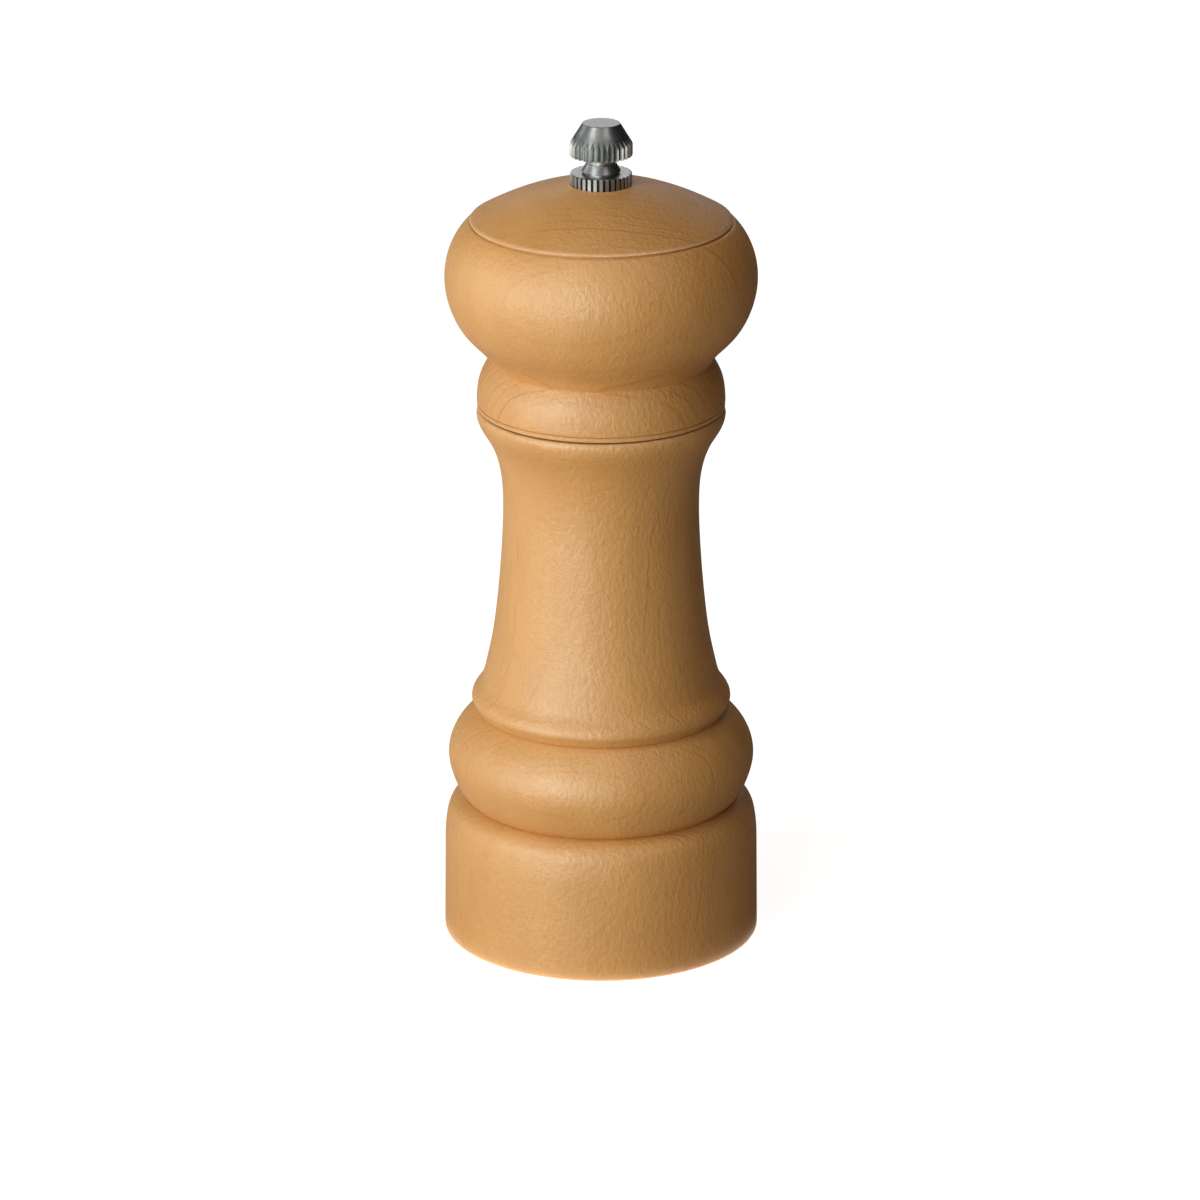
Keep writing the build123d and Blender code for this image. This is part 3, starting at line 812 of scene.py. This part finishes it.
def head_outline():
    """The turned head, from the tenon out to the ring, up the bulb and dome, and down through the bore."""
    bottom = SEAM_HEIGHT + SEAM_GAP
    tenon_corner = (TENON_RADIUS, TENON_BOTTOM)
    tenon_end = rounded((SHAFT_BORE_RADIUS, TENON_BOTTOM), tenon_corner, (TENON_RADIUS, 95), 0.6)
    ring_edge = rounded((TENON_RADIUS, bottom), (21.88, bottom), (21.93, 99.2), 0.35)
    incised = [(21.93, 99.2), (21.9, 99.28), (21.7, 99.38), (21.7, 99.44), (21.92, 99.54), (21.95, 99.62)]
    ring = smooth_curve(((21.95, 99.62), (21.83, 101.8), (21.47, 103.7), (19.64, 107.2)), (0, 1), (-0.7, 1))
    bulb = smooth_curve(
        (
            (19.64, 107.2),
            (22.25, 110.57),
            (24.09, 112.5),
            (26.6, 117.1),
            (HEAD_RADIUS, 122.06),
            (26.5, 127.5),
            (23.3, 132.15),
        ),
        (0.45, 1),
        (-0.85, 0.75),
        0.5,
    )
    step_groove = [(22.8, 132.1), (22.75, 132.15), (22.75, 132.34)]
    step_edge = [(22.98, 132.42), (23.06, 132.53), (22.95, 132.7)]
    dome = smooth_curve(((22.95, 132.7), (14.5, 136.73), (5.75, 138.98)), (-1, 0.57), (-1, 0.14), 0.7)
    mouth = rounded((8, 138.7), (FERRULE_POCKET_RADIUS, 139.03), (FERRULE_POCKET_RADIUS, 138.0), 0.15)
    inside = [
        (FERRULE_POCKET_RADIUS, FERRULE_SEAT),
        (SHAFT_BORE_RADIUS, FERRULE_SEAT),
        (SHAFT_BORE_RADIUS, TENON_BOTTOM),
    ]
    lower_part = tenon_end + [(TENON_RADIUS, bottom)] + ring_edge + incised[1:] + ring[1:]
    return lower_part + bulb[1:] + step_groove + step_edge + dome[1:] + mouth + inside


body_piece = turned_piece("turned_body", body_outline(), body_wood)
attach(body_piece, "mill_body")
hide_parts("wood_body")

head_piece = turned_piece("turned_head", head_outline(), head_wood)
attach(head_piece, "head")
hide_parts("wood_head")


# ---------------------------------------------------------------- the knurled knob and fluted ferrule

def knob_slice():
    """One tooth of the knob, and the wedge of cone, neck, skirt and blind hole that belongs to it.

    The groove's walls run out on the cone, where each pair meets in a point.
    """
    half = math.pi / KNOB_TEETH
    flat = 0.08 * half
    shoulder = 0.42 * half
    shoulder_cut = 0.16
    angles = (-half, -shoulder, -flat, flat, shoulder, half)
    cone_slope = (KNOB_RADIUS - KNOB_TOP_RADIUS) / (KNOB_TOP - KNOB_BAND_TOP)
    run_out = KNOB_TOP - (KNOB_ROOT - KNOB_TOP_RADIUS) / cone_slope
    side = KNOB_RADIUS - (KNOB_RADIUS - KNOB_ROOT) * (shoulder - flat) / (half - flat)

    def tooth_row(side_cut=0.0, end_cut=0.0):
        row = (KNOB_ROOT, side - side_cut, KNOB_RADIUS, KNOB_RADIUS, side - side_cut, KNOB_ROOT)
        return tuple(r - end_cut for r in row)

    rows = (
        (0, KNOB_TOP),
        (2.0, KNOB_TOP),
        (KNOB_TOP_RADIUS - 0.08, KNOB_TOP),
        (KNOB_TOP_RADIUS + 0.03, KNOB_TOP - 0.05),
        (0.5 * (KNOB_TOP_RADIUS + KNOB_ROOT), 0.5 * (KNOB_TOP + run_out)),
        (KNOB_ROOT, run_out),
        (tooth_row(shoulder_cut), KNOB_BAND_TOP),
        (tooth_row(), KNOB_BAND_TOP - 0.3),
        (tooth_row(), KNOB_BAND_BOTTOM + 0.1),
        (tooth_row(0.0, 0.1), KNOB_BAND_BOTTOM),
        (3.6, KNOB_BAND_BOTTOM),
        (2.6, KNOB_BAND_BOTTOM),
        (KNOB_NECK_RADIUS, KNOB_BAND_BOTTOM - 0.15),
        (KNOB_NECK_RADIUS, 143.05),
        (2.5, 142.92),
        (2.66, 142.84),
        (3.0, 142.16),
        (3.38, 141.5),
        (3.42, 141.43),
        (3.38, 141.36),
        (3.28, KNOB_BOTTOM),
        (2.4, KNOB_BOTTOM),
        (1.7, KNOB_BOTTOM),
        (KNOB_HOLE_RADIUS, 141.5),
        (KNOB_HOLE_RADIUS, KNOB_HOLE_TOP),
        (0, KNOB_HOLE_TOP),
    )

    def groove_end(k, upper, lower):
        """The faces from the cone down to the teeth: the groove's wall, a slanted facet, and the cone."""
        if abs(lower[2].co.z - KNOB_BAND_TOP * MM) > 1e-7 or k == 2:
            return None
        if k in (1, 3):
            return []
        edge, beside, tip = (0, 1, 2) if k == 0 else (5, 4, 3)
        return [
            (upper[edge], lower[edge], lower[beside]),
            (upper[edge], lower[beside], lower[tip]),
            (upper[edge], lower[tip], upper[beside]),
            (upper[beside], lower[tip], upper[tip]),
        ]

    return slice_mesh("knob_slice", rows, angles, KNOB_ROOT, groove_end)


def ferrule_slice():
    """One flute and its land, with the plain shank below."""
    pitch = 2 * math.pi / FERRULE_TEETH
    angles = [pitch * share for share in (-0.5, -0.375, -0.275, 0.0, 0.275, 0.375, 0.5)]
    land = (FERRULE_ROOT,) * 2 + (FERRULE_RADIUS,) * 3 + (FERRULE_ROOT,) * 2
    chamfer = 0.06
    land_top = tuple(r - chamfer for r in land)
    rows = (
        (THREAD_CLEARANCE_RADIUS, FERRULE_SHANK_BOTTOM),
        (THREAD_CLEARANCE_RADIUS, FERRULE_TOP - 0.1),
        (THREAD_CLEARANCE_RADIUS + 0.1, FERRULE_TOP),
        (3.2, FERRULE_TOP),
        (4.4, FERRULE_TOP),
        (land_top, FERRULE_TOP),
        (land, FERRULE_TOP - chamfer),
        (land, FERRULE_SEAT),
        (SHAFT_BORE_RADIUS, FERRULE_SEAT),
        (SHAFT_BORE_RADIUS, FERRULE_SHANK_BOTTOM + 0.3),
        (SHAFT_BORE_RADIUS - 0.3, FERRULE_SHANK_BOTTOM),
        (THREAD_CLEARANCE_RADIUS, FERRULE_SHANK_BOTTOM),
    )
    return slice_mesh("ferrule_slice", rows, angles, FERRULE_ROOT)


knob_piece = made_by(RING_OF_COPIES, "knurled_knob", knob_slice(), {
    "Count": KNOB_TEETH,
    "Join Distance": SLICE_JOIN * MM,
    "Material": knob_steel,
}, sharp_above=KNURL_SHARP_ABOVE)
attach(knob_piece, "knob")
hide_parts("adjusting_knob")

ferrule_piece = made_by(RING_OF_COPIES, "fluted_ferrule", ferrule_slice(), {
    "Count": FERRULE_TEETH,
    "Join Distance": SLICE_JOIN * MM,
    "Material": ferrule_steel,
}, sharp_above=KNURL_SHARP_ABOVE)
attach(ferrule_piece, "head")
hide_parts("top_ferrule")


# ---------------------------------------------------------------- the shaft and the spring

def shaft_mesh():
    """The square bar, with the clip's groove, and the plain cores of its two threads."""
    half = SQUARE_SIDE / 2
    cut = half - SQUARE_CHAMFER
    right_and_back = ((half, -cut), (half, cut), (cut, half), (-cut, half))
    square = right_and_back + tuple((-x, -y) for x, y in right_and_back)
    parts = 4
    sides = parts * len(square)
    core = THREAD_CORE_RADIUS
    end = core - THREAD_END

    def round_ring(radius):
        first = -math.pi / len(square)
        steps = [2 * math.pi * k / sides + first for k in range(sides)]
        return [(radius * math.cos(a), radius * math.sin(a)) for a in steps]

    def square_ring():
        """The chamfered square, with as many points as the round parts, so that one skin covers them all."""
        ring = []
        for a, b in zip(square, square[1:] + square[:1]):
            run = (b[0] - a[0], b[1] - a[1])
            ring += [(a[0] + run[0] * t / parts, a[1] + run[1] * t / parts) for t in range(parts)]
        return ring

    levels = (
        (round_ring(end), SHAFT_BOTTOM),
        (round_ring(core), SHAFT_BOTTOM + THREAD_END),
        (round_ring(core), SQUARE_BOTTOM),
        (square_ring(), SQUARE_BOTTOM),
        (square_ring(), CLIP_BOTTOM),
        (round_ring(CLIP_GROOVE_RADIUS), CLIP_BOTTOM),
        (round_ring(CLIP_GROOVE_RADIUS), CLIP_TOP),
        (square_ring(), CLIP_TOP),
        (square_ring(), SQUARE_TOP),
        (round_ring(core), SQUARE_TOP),
        (round_ring(core), SHAFT_TOP - THREAD_END),
        (round_ring(end), SHAFT_TOP),
    )
    builder = bmesh.new()
    rings = [[builder.verts.new((x * MM, y * MM, z * MM)) for x, y in ring] for ring, z in levels]
    builder.faces.new(rings[0][::-1])
    builder.faces.new(rings[-1])
    for lower, upper in zip(rings, rings[1:]):
        for k in range(sides):
            after = (k + 1) % sides
            builder.faces.new((lower[k], lower[after], upper[after], upper[k]))
    mesh = bpy.data.meshes.new("shaft_bar")
    builder.to_mesh(mesh)
    builder.free()
    return mesh


thread = {
    "Coil Radius": THREAD_COIL_RADIUS * MM,
    "Wire Radius": THREAD_WIRE_RADIUS * MM,
    "Wire Sides": 4,
    "Pitch": THREAD_PITCH * MM,
    "Steps Per Turn": 28,
    "Material": zinc_steel,
}
shaft_piece = made_by(WOUND_WIRE, "square_shaft", shaft_mesh(), {
    **thread,
    "Height": (SHAFT_TOP - SQUARE_TOP - THREAD_PITCH) * MM,
    "Base Height": (SQUARE_TOP + THREAD_END) * MM,
})
lower_thread = made_by(WOUND_WIRE, "shaft_lower_thread", bpy.data.meshes.new("no_core"), {
    **thread,
    "Height": (SQUARE_BOTTOM - SHAFT_BOTTOM - THREAD_PITCH) * MM,
    "Base Height": (SHAFT_BOTTOM + THREAD_END) * MM,
})
for piece in (shaft_piece, lower_thread):
    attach(piece, "shaft")
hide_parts("drive_shaft")

spring_low, spring_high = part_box("spring")
wire_radius = SPRING_WIRE_RADIUS * MM
coil_height = spring_high.z - spring_low.z - 2 * wire_radius
spring_piece = made_by(WOUND_WIRE, "coil_spring", bpy.data.meshes.new("no_core"), {
    "Coil Radius": SPRING_COIL_RADIUS * MM,
    "Wire Radius": wire_radius,
    "Wire Sides": 12,
    "Pitch": coil_height / SPRING_TURNS,
    "Height": coil_height,
    "Base Height": spring_low.z + wire_radius,
    "Steps Per Turn": 40,
    "Material": zinc_steel,
}, sharp_above=60.0)
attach(spring_piece, "thrust_washer")
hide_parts("spring")


# ---------------------------------------------------------------- finishes on the inner CAD pieces

cad_finish = {
    "knob_washer": zinc_steel,
    "shaft_clip": burr_steel,
    "drive_plate": zinc_steel,
    "drive_plate_screws": zinc_steel,
    "thrust_washer": zinc_steel,
    "rotor_core": nylon,
    "rotor_burr": burr_steel,
    "rotor_washer": zinc_steel,
    "rotor_nut": zinc_steel,
    "stator_ring": burr_steel,
    "grinder_housing": nylon,
    "housing_screws": zinc_steel,
    "bridge": zinc_steel,
    "bridge_screws": zinc_steel,
}
for node_name, material in cad_finish.items():
    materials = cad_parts[node_name].data.materials
    materials.clear()
    materials.append(material)


# ---------------------------------------------------------------- floor, light and camera

def floor_material():
    """Pale and matt, nearly white from the camera, with the glow of a reflector card on the lit side."""
    material = bpy.data.materials.new("pale_floor")
    material.use_nodes = True
    tree = material.node_tree
    tree.nodes.clear()
    white = (1, 1, 1, 1)

    # What the camera sees
    pale = add_node(tree, "ShaderNodeBsdfDiffuse", None, {"Color": (0.5, 0.5, 0.5, 1)})
    lift = add_node(tree, "ShaderNodeEmission", None, {"Color": white, "Strength": 0.88})
    shown = add_node(tree, "ShaderNodeAddShader", None, {0: pale.outputs[0], 1: lift.outputs[0]})

    # What lights the mill: a warm bounce, the card on the left, and a thin bright ring round the foot
    warm = add_node(tree, "ShaderNodeBsdfDiffuse", None, {"Color": (0.45, 0.36, 0.27, 1)})
    place = add_node(tree, "ShaderNodeTexCoord").outputs["Object"]
    across = add_node(tree, "ShaderNodeSeparateXYZ", None, {0: place}).outputs[0]
    card_glow = between(tree, across, -0.12, 0.04, 0.3, 0.0)
    foot_glow = between(tree, length_of(tree, place), 0.0285, 0.0305, 1.2, 0.0)
    glow = total(tree, card_glow, foot_glow)
    card = add_node(tree, "ShaderNodeEmission", None, {"Color": white, "Strength": glow})
    unseen = add_node(tree, "ShaderNodeAddShader", None, {0: warm.outputs[0], 1: card.outputs[0]})

    seen = add_node(tree, "ShaderNodeLightPath").outputs["Is Camera Ray"]
    both = add_node(tree, "ShaderNodeMixShader", None, {0: seen, 1: unseen.outputs[0], 2: shown.outputs[0]})
    output = tree.nodes.new("ShaderNodeOutputMaterial")
    tree.links.new(both.outputs[0], output.inputs[0])
    return material


def make_floor():
    """A square that the mill stands on, wide enough to fill the view."""
    half = FLOOR_REACH
    corners = [(-half, -half, 0), (half, -half, 0), (half, half, 0), (-half, half, 0)]
    mesh = bpy.data.meshes.new("floor")
    mesh.from_pydata(corners, [], [(0, 1, 2, 3)])
    mesh.materials.append(floor_material())
    return link_mesh("floor", mesh)


def soft_light(name, azimuth, elevation, distance, size, watts, tint=(1, 1, 1)):
    """An oblong area light that faces the mill. Azimuth 0 is in front of it, and -90 is to its left."""
    lamp = bpy.data.lights.new(name, "AREA")
    lamp.shape = "RECTANGLE"
    lamp.size, lamp.size_y = size
    lamp.energy = watts
    lamp.color = tint
    turn = math.radians(azimuth)
    rise = math.radians(elevation)
    offset = Vector((math.sin(turn) * math.cos(rise), -math.cos(turn) * math.cos(rise), math.sin(rise)))
    facing = offset.to_track_quat("Z", "Y").to_matrix().to_4x4()
    light = bpy.data.objects.new(name, lamp)
    light.matrix_world = Matrix.Translation(LIGHT_AIM + offset * distance) @ facing
    bpy.context.scene.collection.objects.link(light)


def make_world():
    """White behind the mill, and a dim grey surround for light and reflections."""
    world = bpy.data.worlds.new("studio")
    bpy.context.scene.world = world
    world.use_nodes = True
    tree = world.node_tree
    tree.nodes.clear()
    white = (1, 1, 1, 1)
    surround = add_node(tree, "ShaderNodeBackground", None, {"Color": white, "Strength": 0.015}).outputs[0]
    backdrop = add_node(tree, "ShaderNodeBackground", None, {"Color": white, "Strength": 1.0}).outputs[0]
    seen = add_node(tree, "ShaderNodeLightPath").outputs["Is Camera Ray"]
    both = add_node(tree, "ShaderNodeMixShader", None, {0: seen, 1: surround, 2: backdrop})
    output = tree.nodes.new("ShaderNodeOutputWorld")
    tree.links.new(both.outputs[0], output.inputs[0])


def make_camera():
    """A long lens a metre away, looking down at the mill by about twenty degrees."""
    camera_data = bpy.data.cameras.new("camera")
    camera_data.sensor_width = 36.0
    camera_data.lens = CAMERA_LENS
    camera_data.clip_start = 0.01
    camera_data.clip_end = 50.0
    camera = bpy.data.objects.new("camera", camera_data)
    bpy.context.scene.collection.objects.link(camera)
    camera.location = CAMERA_PLACE
    camera.rotation_euler = (math.radians(90 - CAMERA_TILT), 0, 0)
    bpy.context.scene.camera = camera


make_floor()
make_world()
make_camera()
soft_light("key", -41, 9, 1.1, (1.3, 0.8), 16.0, tint=(0.91, 1.0, 0.95))
soft_light("left_edge", -110, 5, 1.1, (0.6, 0.8), 2.2, tint=(0.93, 1.0, 1.0))
soft_light("top", -12, 76, 1.1, (0.6, 0.5), 2.3, tint=(1.0, 0.88, 0.74))
soft_light("left_streak", -50, 44, 1.1, (0.2, 0.45), 1.2)
soft_light("right_streak", 33, 42, 1.1, (0.2, 0.45), 0.7)
soft_light("back_panel", 180, 20, 1.2, (0.9, 0.45), 1.5)
bpy.context.scene.view_settings.view_transform = "Standard"
